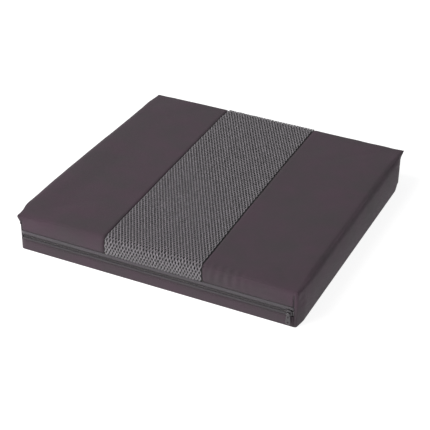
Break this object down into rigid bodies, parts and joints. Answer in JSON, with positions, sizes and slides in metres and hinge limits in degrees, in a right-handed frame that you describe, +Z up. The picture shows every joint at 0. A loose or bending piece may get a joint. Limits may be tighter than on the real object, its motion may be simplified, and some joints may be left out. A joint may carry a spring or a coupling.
{
  "type": "seat cushion",
  "caption": "Square flat seat cushion: foam block in a zipped fabric cover with a centre strip of open spacer mesh, and a working zip slider.",
  "frame": {"origin": "centre of the flat underside of the cover", "axes": "+Z up; the zip runs along the front, which faces -Y; the spacer mesh strip runs front to back, along Y; the closed zip's slider is at the +X end"},
  "size_m": [0.4, 0.4039, 0.054],
  "materials": {
    "support_foam": "open-cell polyurethane foam",
    "comfort_foam": "soft open-cell polyurethane foam",
    "plum_fabric": "tight plain-weave polyester, soft matt",
    "spacer_mesh": "open warp-knitted spacer mesh",
    "sewing_thread": "spun polyester thread",
    "hem_tape": "folded binding, fine twill",
    "zip_tape": "woven zip tape",
    "zip_coil": "dyed nylon coil",
    "zip_stop": "moulded nylon",
    "slider_metal": "lacquered die-cast zinc"
  },
  "bodies": {
    "cushion": {"support_foam": "support_foam", "comfort_foam": "comfort_foam", "left_top_panel": "plum_fabric", "right_top_panel": "plum_fabric", "spacer_mesh_strip": "spacer_mesh", "left_seam_thread": "sewing_thread", "right_seam_thread": "sewing_thread", "bottom_panel": "plum_fabric", "front_lower_strip": "plum_fabric", "front_upper_hem": "hem_tape", "zip_lower_tape": "zip_tape", "zip_upper_tape": "zip_tape", "zip_lower_coil": "zip_coil", "zip_upper_coil": "zip_coil", "lower_zip_stitching": "sewing_thread", "upper_zip_stitching": "sewing_thread", "zip_top_stops": "zip_stop", "zip_bottom_stop": "zip_stop"},
    "slider": {"slider_body": "slider_metal", "slider_crown": "slider_metal"},
    "pull": {"pull_tab": "slider_metal"}
  },
  "joints": [
    {"name": "slider_travel", "type": "slide", "parent": "cushion", "child": "slider", "axis": [-1, 0, 0], "range_m": [0, 0.382]},
    {"name": "pull_swing", "type": "hinge", "parent": "slider", "child": "pull", "pos_m": [0.191, -0.2026, 0.0205], "axis": [-1, 0, 0], "range_deg": [0, 170]}
  ]
}
